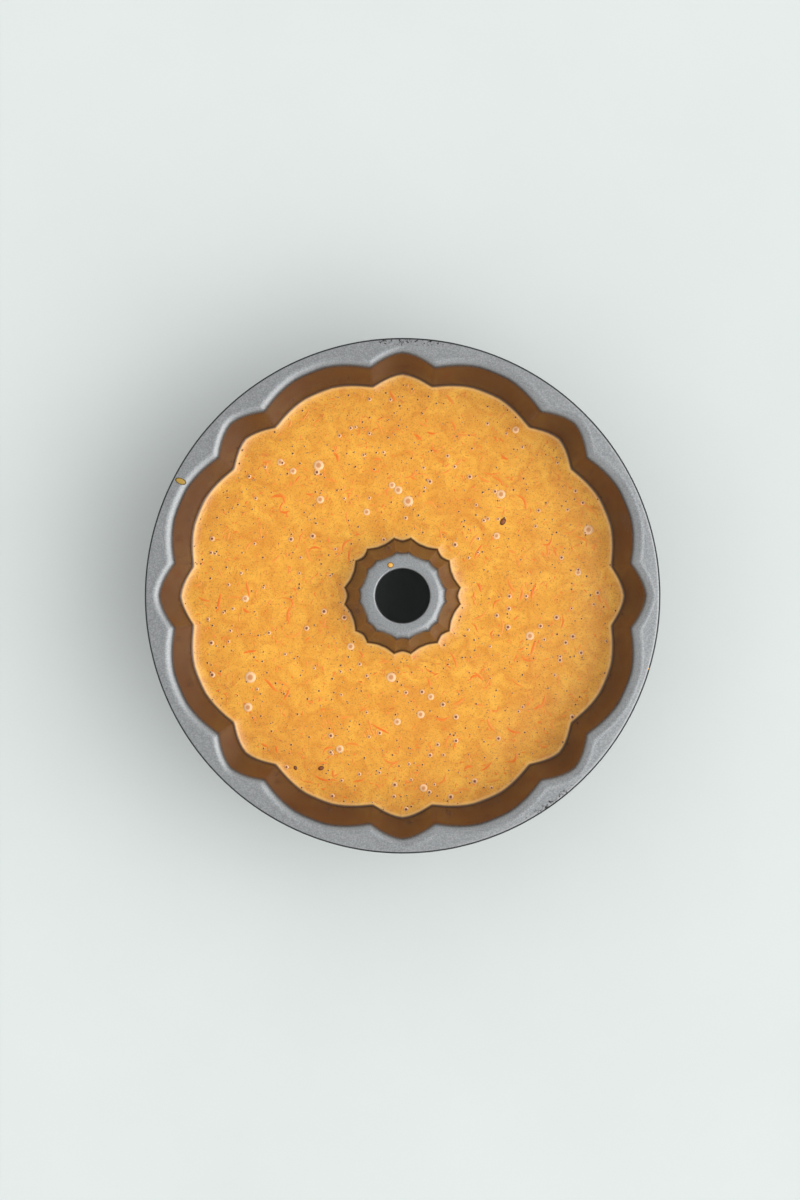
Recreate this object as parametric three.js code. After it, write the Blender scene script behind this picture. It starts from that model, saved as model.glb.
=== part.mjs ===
// A fluted ring-cake pan, pressed from non-stick coated steel sheet.
//
// The pan is three pieces. The fluted shell is the ring-shaped trough with its flange and rolled rim.
// The centre tube is the fluted cone that the cake bakes around, with a flat crown and a turned-down lip
// round its hole. Its skirt is lapped under the collar that the shell's trough ends in. The rim wire lies
// inside the rolled rim and keeps the flange round.
//
// Eight narrow and eight wide channels alternate round the trough and run on from the outer wall across
// the floor and up the cone. Sixteen ridges part them. All sizes are in millimetres. The axis is +Z, the
// pan stands on the plane z = 0, and +X looks along the middle of a narrow channel.
import * as THREE from "three";

// Sheet and fits
const sheet = 0.8; // steel sheet with its coating
const clearance = 0.3; // gap between pieces that touch
const lap = sheet + clearance; // how far the tube's face lies under the shell's face

// Rim
const rimRadius = 133.5; // outside of the rolled rim, half of the 267 mm overall diameter
const rimHeight = 88; // top of the shoulder round the cavity
const creaseDrop = 0.1; // fall from there to the crease where the shoulder meets the flange
const flangeDroop = 0.3; // and to the rolled rim
const wireRadius = 0.6;
const curlInside = 1.0; // inside radius of the rolled rim, round the wire
const curlOutside = curlInside + sheet;
const curlTurn = THREE.MathUtils.degToRad(270); // from the top of the rim, out, under and back in
const curlSteps = 6;
const curlCentre = new THREE.Vector2(rimRadius - curlOutside, rimHeight - flangeDroop - curlOutside);

// Flutes
const flutePairs = 8; // one narrow and one wide channel each
const pairAngle = (2 * Math.PI) / flutePairs;
const narrowHalfAngle = THREE.MathUtils.degToRad(8.1);
const wideHalfAngle = pairAngle / 2 - narrowHalfAngle;
const narrowSteps = 6;
const wideSteps = 7;
const wideFlat = 0.2; // share of a wide channel's half width that is flat across
const wideRise = 1.5; // power of the rise from there to the ridge
const narrowRise = 1.5; // power of the rise from the middle of a narrow channel

// Sections of the cavity's face from the rim inwards, as corners of [radius, height, rounding]: along the
// middle of a wide channel, along the middle of a narrow one and along the crest of a ridge
const shoulderCorner = rimHeight + 0.4; // before it is rounded off
const ridgeHeight = 9; // of the ridges on the floor
const holeRadius = 14.2;
const crownHeight = 84;
const lipRounding = 1;
const lipLength = 5;
const floorFace = sheet;
const crownFace = crownHeight + lap; // the tube's face lies the lap under these sections
const rimEnd = [[curlCentre.x, rimHeight - flangeDroop, 0]];
const holeEnd = [
  [holeRadius - lap, crownFace, lipRounding + lap],
  [holeRadius - lap, crownFace - lipLength, 0],
];
const wideSection = [
  ...rimEnd,
  [130.4, rimHeight - creaseDrop, 6],
  [125.4, shoulderCorner, 5.5],
  [98.2, floorFace, 34],
  [51.5, floorFace, 18],
  [21.6, crownFace, 4 + lap],
  ...holeEnd,
];
const narrowSection = [
  ...rimEnd,
  [130.8, rimHeight - creaseDrop, 6],
  [126.5, shoulderCorner, 4.8],
  [98.8, floorFace, 34],
  [51.5, floorFace, 18],
  [22.3, crownFace, 5 + lap],
  ...holeEnd,
];
const ridgeSection = [
  ...rimEnd,
  [125.6, rimHeight - creaseDrop, 12],
  [119.7, shoulderCorner, 5.5],
  [98.7, floorFace + ridgeHeight, 38],
  [51.9, floorFace + ridgeHeight, 16],
  [23.3, crownFace, 7 + lap],
  ...holeEnd,
];

// The lap at the cone's foot, between two level edges
const skirtFoot = 22;
const collarTop = 28;

// Stations along the sections: both ends of each straight, steps round each corner, and on the cone's
// straight the heights of the lap's edges as well
const cornerSteps = [0, 1, 4, 5, 4, 4, 2, 0];
const coneStraight = 4;

/** Returns evenly spaced numbers from first to last, both included. */
function spread(first, last, steps) {
  return Array.from({ length: steps + 1 }, (_, i) => first + ((last - first) * i) / steps);
}

/** Returns a section's stations, points with unit tangents, along its straights and round its corners. */
function stationsOf(section) {
  const corners = section.map(([r, z]) => new THREE.Vector2(r, z));
  const legs = corners.slice(1).map((corner, i) => corner.clone().sub(corners[i]).normalize());
  const setbacks = section.map(([, , rounding], i) =>
    rounding ? rounding * Math.tan(Math.abs(turnBetween(legs[i - 1], legs[i])) / 2) : 0);
  const stations = [];
  legs.forEach((leg, i) => {
    const start = corners[i].clone().addScaledVector(leg, setbacks[i]);
    const end = corners[i + 1].clone().addScaledVector(leg, -setbacks[i + 1]);
    const heights = i === coneStraight ? [skirtFoot, collarTop] : [];
    const between = heights.map((height) => (height - start.y) / (end.y - start.y));
    for (const stop of [0, ...between, 1]) {
      stations.push({ point: start.clone().lerp(end, stop), tangent: leg.clone() });
    }
    if (cornerSteps[i + 1]) {
      stations.push(...arcStations(end, leg, legs[i + 1], section[i + 1][2], cornerSteps[i + 1]));
    }
  });
  return stations;
}

/** Returns the signed angle from one direction to the next. */
function turnBetween(before, after) {
  return Math.atan2(before.cross(after), before.dot(after));
}

/** Returns the stations inside a rounded corner, which starts at a point and turns one leg into the next. */
function arcStations(start, before, after, rounding, steps) {
  const turn = turnBetween(before, after);
  const towardsCentre = new THREE.Vector2(-before.y, before.x).multiplyScalar(Math.sign(turn));
  const centre = start.clone().addScaledVector(towardsCentre, rounding);
  return spread(0, turn, steps).slice(1, -1).map((angle) => ({
    point: start.clone().rotateAround(centre, angle),
    tangent: before.clone().rotateAround(new THREE.Vector2(), angle),
  }));
}

/** Returns how far an angle round the axis is from the middle of the nearest narrow channel. */
function angleFromNarrow(angle) {
  return Math.abs(THREE.MathUtils.euclideanModulo(angle + pairAngle / 2, pairAngle) - pairAngle / 2);
}

/** Returns how far the sheet stands up at an angle round the axis: 0 in a channel, 1 on a ridge. */
function rise(angle) {
  const fromNarrow = angleFromNarrow(angle);
  if (fromNarrow <= narrowHalfAngle) return (fromNarrow / narrowHalfAngle) ** narrowRise;
  const acrossWide = (pairAngle / 2 - fromNarrow) / wideHalfAngle;
  return (Math.max(acrossWide - wideFlat, 0) / (1 - wideFlat)) ** wideRise;
}

/** Returns the slope of the rise, per radian. */
function riseSlope(angle) {
  const step = 1e-4;
  return (rise(angle + step) - rise(angle - step)) / (2 * step);
}

const wideStations = stationsOf(wideSection);
const narrowStations = stationsOf(narrowSection);
const ridgeStations = stationsOf(ridgeSection);
const collarStation = coneStation(collarTop);
const skirtStation = coneStation(skirtFoot);

/** Returns the index of the cone's station at a height. */
function coneStation(height) {
  return wideStations.findLastIndex(({ point }) => Math.abs(point.y - height) < 0.01);
}

/** Returns the sheet's section at an angle, between two stations, at a depth under the cavity's face. */
function faceAt(angle, first, last, depth) {
  const share = rise(angle);
  const slope = riseSlope(angle);
  const channelStations = angleFromNarrow(angle) < narrowHalfAngle ? narrowStations : wideStations;
  return channelStations.slice(first, last).map((channel, i) => {
    const ridge = ridgeStations[first + i];
    const point = channel.point.clone().lerp(ridge.point, share);
    const tangent = channel.tangent.clone().lerp(ridge.tangent, share).normalize();
    // A flank that slopes round the axis is thinner than its section, so it is set deeper there.
    const flank = (slope * channel.point.distanceTo(ridge.point)) / point.x;
    const away = new THREE.Vector2(-tangent.y, tangent.x);
    return point.addScaledVector(away, depth * Math.hypot(1, flank));
  });
}

/** Returns the rolled rim's arc of a radius, from the top of the rim round to its edge. */
function curlArc(radius) {
  return spread(Math.PI / 2, Math.PI / 2 - curlTurn, curlSteps).map((angle) =>
    new THREE.Vector2(Math.cos(angle), Math.sin(angle)).multiplyScalar(radius).add(curlCentre));
}

/** Returns the angles round the axis at which the ring solids have a section. */
function sectionAngles() {
  const angles = [];
  for (let pair = 0; pair < flutePairs; pair += 1) {
    const middle = pair * pairAngle;
    angles.push(...spread(middle - narrowHalfAngle, middle + narrowHalfAngle, narrowSteps).slice(0, -1));
    const wideEnd = middle + pairAngle - narrowHalfAngle;
    angles.push(...spread(middle + narrowHalfAngle, wideEnd, wideSteps).slice(0, -1));
  }
  return angles;
}

/** Returns a ring-shaped geometry whose closed section follows the angle, laid out as a lathe. */
function ringGeometry(sectionAt) {
  const columns = sectionAngles().map((angle) => {
    const section = sectionAt(angle);
    return { angle, section: [...section, section[0]] };
  });
  columns.push(columns[0]);
  const geometry = new THREE.LatheGeometry(columns[0].section, columns.length - 1);
  const position = geometry.getAttribute("position");
  columns.forEach(({ angle, section }, column) => {
    section.forEach(({ x: radius, y: height }, row) => {
      const vertex = column * section.length + row;
      position.setXYZ(vertex, radius * Math.cos(angle), radius * Math.sin(angle), height);
    });
  });
  geometry.computeVertexNormals();
  return geometry;
}

/** The trough with its flange and rolled rim: one sheet, whose two faces and two edges close its section. */
function flutedShell(material) {
  const geometry = ringGeometry((angle) => [
    ...faceAt(angle, 0, collarStation + 1, 0),
    ...faceAt(angle, 1, collarStation + 1, sheet).reverse(),
    ...curlArc(curlInside),
    ...curlArc(curlOutside).slice(1).reverse(),
  ]);
  const mesh = new THREE.Mesh(geometry, material);
  mesh.name = "fluted_shell";
  return mesh;
}

/** The cone with its crown and lip, from the skirt under the shell's collar to the hole. */
function centreTube(material) {
  const geometry = ringGeometry((angle) => [
    ...faceAt(angle, skirtStation, ridgeStations.length, lap),
    ...faceAt(angle, skirtStation, ridgeStations.length, lap + sheet).reverse(),
  ]);
  const mesh = new THREE.Mesh(geometry, material);
  mesh.name = "centre_tube";
  return mesh;
}

/** The stiffening wire in the rolled rim. */
function rimWire(material) {
  const sides = 6;
  const turns = 96;
  const mesh = new THREE.Mesh(new THREE.TorusGeometry(curlCentre.x, wireRadius, sides, turns), material);
  mesh.position.z = curlCentre.y;
  mesh.name = "rim_wire";
  return mesh;
}

const coating = new THREE.MeshStandardMaterial({ color: 0x85878a, roughness: 0.38, metalness: 0.6 });
const drawnWire = new THREE.MeshStandardMaterial({ color: 0xb4b6b8, roughness: 0.3, metalness: 1 });

const pan = new THREE.Group();
pan.add(flutedShell(coating), centreTube(coating), rimWire(drawnWire));

export default pan;
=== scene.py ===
"""A fluted ring-cake pan of coated steel, filled with carrot-cake batter and seen from straight above.

The pan is three pieces, all surfaces of one flute formula: the fluted shell with its rolled rim, the centre
tube lapped under the shell's collar, and the wire in the rim. The batter, its drips and the floor aren't
parts of the pan, so they are staged.
"""
import logging
import math
from dataclasses import dataclass, field
from enum import Enum

import bpy
import numpy as np
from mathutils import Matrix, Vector, noise


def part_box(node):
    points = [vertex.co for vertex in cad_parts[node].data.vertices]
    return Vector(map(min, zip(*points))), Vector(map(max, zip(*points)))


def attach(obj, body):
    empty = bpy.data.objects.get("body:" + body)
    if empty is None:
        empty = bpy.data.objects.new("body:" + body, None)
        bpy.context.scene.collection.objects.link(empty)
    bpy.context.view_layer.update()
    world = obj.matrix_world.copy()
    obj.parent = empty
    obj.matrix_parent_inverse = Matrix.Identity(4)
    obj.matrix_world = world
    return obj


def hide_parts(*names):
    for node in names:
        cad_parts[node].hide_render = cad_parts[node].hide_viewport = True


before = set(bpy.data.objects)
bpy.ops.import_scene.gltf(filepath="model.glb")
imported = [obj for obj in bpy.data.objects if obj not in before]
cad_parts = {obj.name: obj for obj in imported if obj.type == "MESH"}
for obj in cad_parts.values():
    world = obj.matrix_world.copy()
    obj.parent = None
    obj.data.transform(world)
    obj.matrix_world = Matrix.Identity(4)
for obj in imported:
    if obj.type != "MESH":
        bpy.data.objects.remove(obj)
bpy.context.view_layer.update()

LOG = logging.getLogger("ring_cake_pan")
MM = 0.001  # metres in a millimetre

# A Mix node's sockets go by number, because the ones for colours and for numbers share their names
COLOUR_A, COLOUR_B, MIXED_COLOUR = 6, 7, 2
NUMBER_A, NUMBER_B, MIXED_NUMBER = 2, 3, 0


def linear(hex_colour: str) -> tuple[float, float, float, float]:
    """Turns an sRGB hex colour into linear light.

    Args:
        hex_colour: A colour such as "#85878a".

    Returns:
        Linear red, green and blue, and an alpha of 1.
    """
    parts = [int(hex_colour[i:i + 2], 16) / 255 for i in (1, 3, 5)]
    red, green, blue = [c / 12.92 if c <= 0.04045 else ((c + 0.055) / 1.055) ** 2.4 for c in parts]
    return red, green, blue, 1.0


def per_metre(size_mm: float) -> float:
    """Gives the texture scale whose pattern repeats about every size_mm millimetres."""
    return 1 / (size_mm * MM)


def add_node(tree: bpy.types.NodeTree, kind: str, inputs: dict | None = None, **settings) -> bpy.types.Node:
    """Adds one shader node, sets it up and links it.

    Args:
        tree: The node tree that gets the node.
        kind: Blender's name for the kind of node, without its ShaderNode start.
        inputs: A value or an output socket for each input, by the input's name or number.
        **settings: The node's own settings.

    Returns:
        The new node.
    """
    node = tree.nodes.new("ShaderNode" + kind)
    for name, value in settings.items():
        setattr(node, name, value)
    for name, value in (inputs or {}).items():
        if isinstance(value, bpy.types.NodeSocket):
            tree.links.new(value, node.inputs[name])
        else:
            node.inputs[name].default_value = value
    return node


@dataclass(frozen=True)
class Pattern:
    """A noise pattern: its size in millimetres, its finer octaves and how strong they are, and its swirl."""

    size: float
    octaves: float
    finer: float
    swirl: float = 0.0

    def over(self, place: bpy.types.NodeSocket) -> dict:
        """Gives a noise node's inputs for the pattern at a place."""
        return {"Vector": place, "Scale": per_metre(self.size), "Detail": self.octaves,
                "Roughness": self.finer, "Distortion": self.swirl}


@dataclass(frozen=True)
class Ramp:
    """A straight ramp: values from start to end become values from low to high, and stop there."""

    start: float
    end: float
    low: float = 0.0
    high: float = 1.0

    def over(self, value: bpy.types.NodeSocket) -> dict:
        """Gives a Map Range node's inputs for the ramp over a value."""
        return {"Value": value, "From Min": self.start, "From Max": self.end, "To Min": self.low,
                "To Max": self.high}


@dataclass(frozen=True)
class Relief:
    """How a pattern stands out of a surface: its height in millimetres, and how much of it shows."""

    height: float
    strength: float

    def over(self, pattern: bpy.types.NodeSocket) -> dict:
        """Gives a Bump node's inputs for the relief of a pattern."""
        return {"Height": pattern, "Strength": self.strength, "Distance": self.height * MM}


def new_material(name: str) -> tuple[bpy.types.Material, bpy.types.NodeTree, bpy.types.NodeSocket]:
    """Makes an empty node material.

    Args:
        name: The real material and how its surface was made.

    Returns:
        The material, its node tree, and a socket that gives a point's place on the object in metres.
    """
    material = bpy.data.materials.new(name)
    material.use_nodes = True
    material.node_tree.nodes.clear()
    place = add_node(material.node_tree, "TexCoord").outputs["Object"]
    return material, material.node_tree, place


# ---------------------------------------------------------------------------------------------------------
# The flute formula
# ---------------------------------------------------------------------------------------------------------


@dataclass(frozen=True)
class Flutes:
    """Narrow and wide channels in turn round the axis, parted by rounded ridges."""

    pairs: int = 8
    narrow_half: float = math.radians(8.1)
    wide_flat: float = 0.2  # share of a wide channel's half width that is flat across
    wide_power: float = 1.5
    narrow_power: float = 1.5
    crest: float = 0.07  # how much the ridges are rounded off, as a share of the rise
    narrow_steps: int = 8  # mesh columns in half a narrow channel
    wide_steps: int = 12

    @property
    def pair(self) -> float:
        """Gives the angle of one narrow and one wide channel."""
        return 2 * math.pi / self.pairs

    def from_narrow(self, angle: np.ndarray) -> np.ndarray:
        """Gives how far each angle is from the middle of the nearest narrow channel."""
        return np.abs((angle + self.pair / 2) % self.pair - self.pair / 2)

    def in_narrow(self, angle: np.ndarray) -> np.ndarray:
        """Tells which angles are in a narrow channel."""
        return self.from_narrow(angle) < self.narrow_half

    def rise(self, angle: np.ndarray) -> np.ndarray:
        """Gives how far the sheet stands up: 0 in a channel and 1 on a ridge.

        Args:
            angle: Angles round the axis, in radians.

        Returns:
            The rise at each angle.
        """
        from_narrow = self.from_narrow(angle)
        narrow = (np.minimum(from_narrow / self.narrow_half, 1)) ** self.narrow_power
        across = (self.pair / 2 - from_narrow) / (self.pair / 2 - self.narrow_half)
        wide = (np.clip(across - self.wide_flat, 0, None) / (1 - self.wide_flat)) ** self.wide_power
        sharp = np.where(from_narrow <= self.narrow_half, narrow, wide)
        below_crest = np.sqrt((1 - sharp) ** 2 + self.crest ** 2) - self.crest
        return 1 - below_crest / (math.sqrt(1 + self.crest ** 2) - self.crest)

    def slope(self, angle: np.ndarray) -> np.ndarray:
        """Gives the slope of the rise at each angle, per radian."""
        step = 1e-4  # radians
        return (self.rise(angle + step) - self.rise(angle - step)) / (2 * step)

    def columns(self) -> np.ndarray:
        """Gives the angles of the mesh columns, set closer together towards the ridges."""
        towards_ridge = np.sin(np.linspace(0, math.pi / 2, self.narrow_steps, endpoint=False))
        narrow = towards_ridge * self.narrow_half
        towards_ridge = np.sin(np.linspace(0, math.pi / 2, self.wide_steps, endpoint=False))
        wide = self.pair / 2 - towards_ridge * (self.pair / 2 - self.narrow_half)
        half = np.concatenate([narrow, [self.narrow_half], wide[::-1]])
        whole = np.concatenate([half, self.pair - half[1:-1][::-1]])
        return (whole + self.pair * np.arange(self.pairs)[:, None]).ravel()


class Line(Enum):
    """The lines that the sheet's sections are drawn along."""

    WIDE = "the middle of a wide channel"
    NARROW = "the middle of a narrow channel"
    RIDGE = "the crest of a ridge"


@dataclass(frozen=True)
class Section:
    """Where one section of the cavity's face turns, from the rim inwards, in millimetres.

    The five corners are the flange's crease, the shoulder, the wall's foot, the cone's foot and the crown.
    """

    radii: tuple[float, float, float, float, float]
    roundings: tuple[float, float, float, float, float]
    floor: float = 0.0  # height of the floor above the channels' floors


@dataclass(frozen=True)
class PressedSheet:
    """The pan's sections in millimetres.

    They are sections of the cavity's face, which is the centre tube's face too when set down by the lap.
    """

    rim_radius: float
    rim_height: float
    crown_height: float
    sheet: float = 0.8
    clearance: float = 0.3
    curl_inside: float = 1.0
    crease_drop: float = 0.1
    flange_droop: float = 0.16
    corner_lift: float = 0.4
    lines: tuple[Section, Section, Section] = (
        Section((130.4, 125.4, 98.2, 51.5, 21.6), (6, 5.5, 34, 18, 4)),
        Section((130.8, 126.5, 98.8, 51.5, 22.3), (6, 4.8, 34, 18, 5)),
        Section((125.6, 119.7, 98.7, 51.9, 23.3), (12, 5.5, 38, 16, 7), floor=9.0),
    )
    hole_radius: float = 14.2
    lip_rounding: float = 1.0
    lip_length: float = 5.0
    skirt_foot: float = 22.0
    collar_top: float = 28.0
    flutes: Flutes = field(default_factory=Flutes)
    straight_steps: tuple[int, ...] = (4, 2, 14, 4, 14, 4, 4)
    corner_steps: tuple[int, ...] = (4, 14, 18, 14, 14, 8)
    cone_straight: int = 4

    @property
    def lap(self) -> float:
        """Gives how far the tube's face lies under the shell's."""
        return self.sheet + self.clearance

    @property
    def curl_outside(self) -> float:
        """Gives the outside radius of the rolled rim."""
        return self.curl_inside + self.sheet

    @property
    def curl_centre(self) -> tuple[float, float]:
        """Gives the radius and height of the middle of the rolled rim."""
        drop = self.flange_droop + self.curl_outside
        return self.rim_radius - self.curl_outside, self.rim_height - drop

    def corners(self, line: Line) -> np.ndarray:
        """Gives the corners of one section.

        Args:
            line: The line that it is along.

        Returns:
            Rows of radius, height and rounding.
        """
        section = dict(zip(Line, self.lines))[line]
        crown_face = self.crown_height + self.lap
        hole_face = self.hole_radius - self.lap
        floor_face = self.sheet + section.floor
        heights = (self.rim_height - self.crease_drop, self.rim_height + self.corner_lift, floor_face,
                   floor_face, crown_face)
        roundings = (*section.roundings[:-1], section.roundings[-1] + self.lap)
        return np.array([
            (self.curl_centre[0], self.rim_height - self.flange_droop, 0),
            *zip(section.radii, heights, roundings),
            (hole_face, crown_face, self.lip_rounding + self.lap),
            (hole_face, crown_face - self.lip_length, 0),
        ])

    def stations(self, line: Line) -> tuple[np.ndarray, np.ndarray]:
        """Walks one section along its straights and round its corners.

        Args:
            line: The line that the section is along.

        Returns:
            The points of radius and height, and the unit tangents there.
        """
        corners = self.corners(line)
        legs = np.diff(corners[:, :2], axis=0)
        legs /= np.linalg.norm(legs, axis=1, keepdims=True)
        turns = [math.atan2(a[0] * b[1] - a[1] * b[0], a @ b) for a, b in zip(legs[:-1], legs[1:])]
        setbacks = [0, *(c[2] * math.tan(abs(t) / 2) for c, t in zip(corners[1:-1], turns)), 0]
        points, tangents = [], []
        for i, leg in enumerate(legs):
            start = corners[i, :2] + leg * setbacks[i]
            end = corners[i + 1, :2] - leg * setbacks[i + 1]
            shares = list(np.linspace(0, 1, self.straight_steps[i] + 1))
            if i == self.cone_straight:
                lap_edges = (self.skirt_foot, self.collar_top)
                shares = sorted(shares + [(z - start[1]) / (end[1] - start[1]) for z in lap_edges])
            points += [start + (end - start) * share for share in shares]
            tangents += [leg] * len(shares)
            if i < len(turns):
                inward = np.array((-leg[1], leg[0])) * math.copysign(1, turns[i])
                centre = end + inward * corners[i + 1, 2]
                for angle in np.linspace(0, turns[i], self.corner_steps[i] + 1)[1:-1]:
                    cos, sin = math.cos(angle), math.sin(angle)
                    turn = np.array(((cos, -sin), (sin, cos)))
                    points.append(centre + turn @ (end - centre))
                    tangents.append(turn @ leg)
        return np.array(points), np.array(tangents)

    def cone_station(self, height: float) -> int:
        """Gives the number of the station at one of the lap's edges on the cone."""
        points, _ = self.stations(Line.WIDE)
        return int(np.flatnonzero(np.abs(points[:, 1] - height) < 1e-6)[-1])

    def face(self, angle: np.ndarray, first: int, last: int | None, depth: float) -> np.ndarray:
        """Gives the sheet's sections at some angles.

        Args:
            angle: Angles round the axis, in radians.
            first: The first station.
            last: The station after the last one, or None for all.
            depth: How far the surface lies under the cavity's face, in millimetres.

        Returns:
            An array of angles by stations by (radius, height).
        """
        wide, narrow, ridge = (np.stack([a[first:last] for a in self.stations(line)]) for line in Line)
        share = self.flutes.rise(angle)[:, None, None]
        slope = self.flutes.slope(angle)[:, None]
        channel = np.where(self.flutes.in_narrow(angle)[:, None, None, None], narrow, wide)
        blend = channel + share[..., None] * (ridge - channel)
        points, tangents = blend[:, 0], blend[:, 1]
        tangents /= np.linalg.norm(tangents, axis=2, keepdims=True)
        away = np.stack([-tangents[..., 1], tangents[..., 0]], axis=2)
        flank = slope * np.linalg.norm(ridge[0] - channel[:, 0], axis=2) / points[..., 0]
        return points + away * (depth * np.hypot(1, flank))[..., None]

    def curl(self, radius: float, steps: int = 24) -> np.ndarray:
        """Gives the rolled rim's arc of a radius, from the top of the rim out, under and back in.

        Args:
            radius: The arc's radius in millimetres.
            steps: How many steps the arc has.

        Returns:
            Rows of radius from the axis and height.
        """
        angle = np.linspace(math.pi / 2, -math.pi, steps + 1)
        arc = np.stack([np.cos(angle), np.sin(angle)], axis=1) * radius
        return arc + self.curl_centre

    def radius_at(self, angle: np.ndarray, height: float, depth: float, on_cone: bool) -> np.ndarray:
        """Gives where the outer wall or the cone stands at a height.

        Args:
            angle: Angles round the axis, in radians.
            height: The height in millimetres.
            depth: How far the surface lies under the cavity's face.
            on_cone: True for the cone, False for the outer wall.

        Returns:
            The radius at each angle, in millimetres.
        """
        middle = self.cone_station(self.skirt_foot)
        found = []
        for section in self.face(angle, 0, None, depth):
            part = section[middle:] if on_cone else section[:middle][::-1]
            top = int(np.argmax(part[:, 1]))
            found.append(np.interp(height, part[:top + 1, 1], part[:top + 1, 0]))
        return np.array(found)


def ring_object(name: str, angles: np.ndarray, sections: np.ndarray, sharp: float = 50) -> bpy.types.Object:
    """Makes a ring-shaped solid from closed sections.

    Args:
        name: The object's name.
        angles: The angle of each section round the axis, in radians.
        sections: An array of angles by corners by (radius, height), in millimetres.
        sharp: The angle in degrees from which an edge isn't smoothed over.

    Returns:
        The new object, linked to the scene.
    """
    count, rows, _ = sections.shape
    radius, height = sections[..., 0], sections[..., 1]
    turn = angles[:, None]
    points = np.stack([radius * np.cos(turn), radius * np.sin(turn), height], axis=2) * MM
    column, row = np.meshgrid(np.arange(count), np.arange(rows), indexing="ij")
    next_column, next_row = (column + 1) % count, (row + 1) % rows
    around = ((column, row), (next_column, row), (next_column, next_row), (column, next_row))
    faces = np.stack([c * rows + r for c, r in around], axis=2).reshape(-1, 4)
    mesh = bpy.data.meshes.new(name)
    mesh.from_pydata(points.reshape(-1, 3).tolist(), [], faces.tolist())
    mesh.shade_smooth()
    mesh.set_sharp_from_angle(angle=math.radians(sharp))
    return link(bpy.data.objects.new(name, mesh))


def link(thing: bpy.types.Object) -> bpy.types.Object:
    """Links an object to the scene and gives it back."""
    bpy.context.scene.collection.objects.link(thing)
    return thing


# ---------------------------------------------------------------------------------------------------------
# The pan's finishes
# ---------------------------------------------------------------------------------------------------------


class Mark(Enum):
    """What a vertex of the sheet is marked with, each from 0 to 1."""

    WEAR = "wear"
    # The grease mark also places the painted shade at the grease's edge and the painted reflection in the
    # cavity.
    GREASE_AND_PAINTED_LIGHT = "grease"
    BACK = "back"


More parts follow.
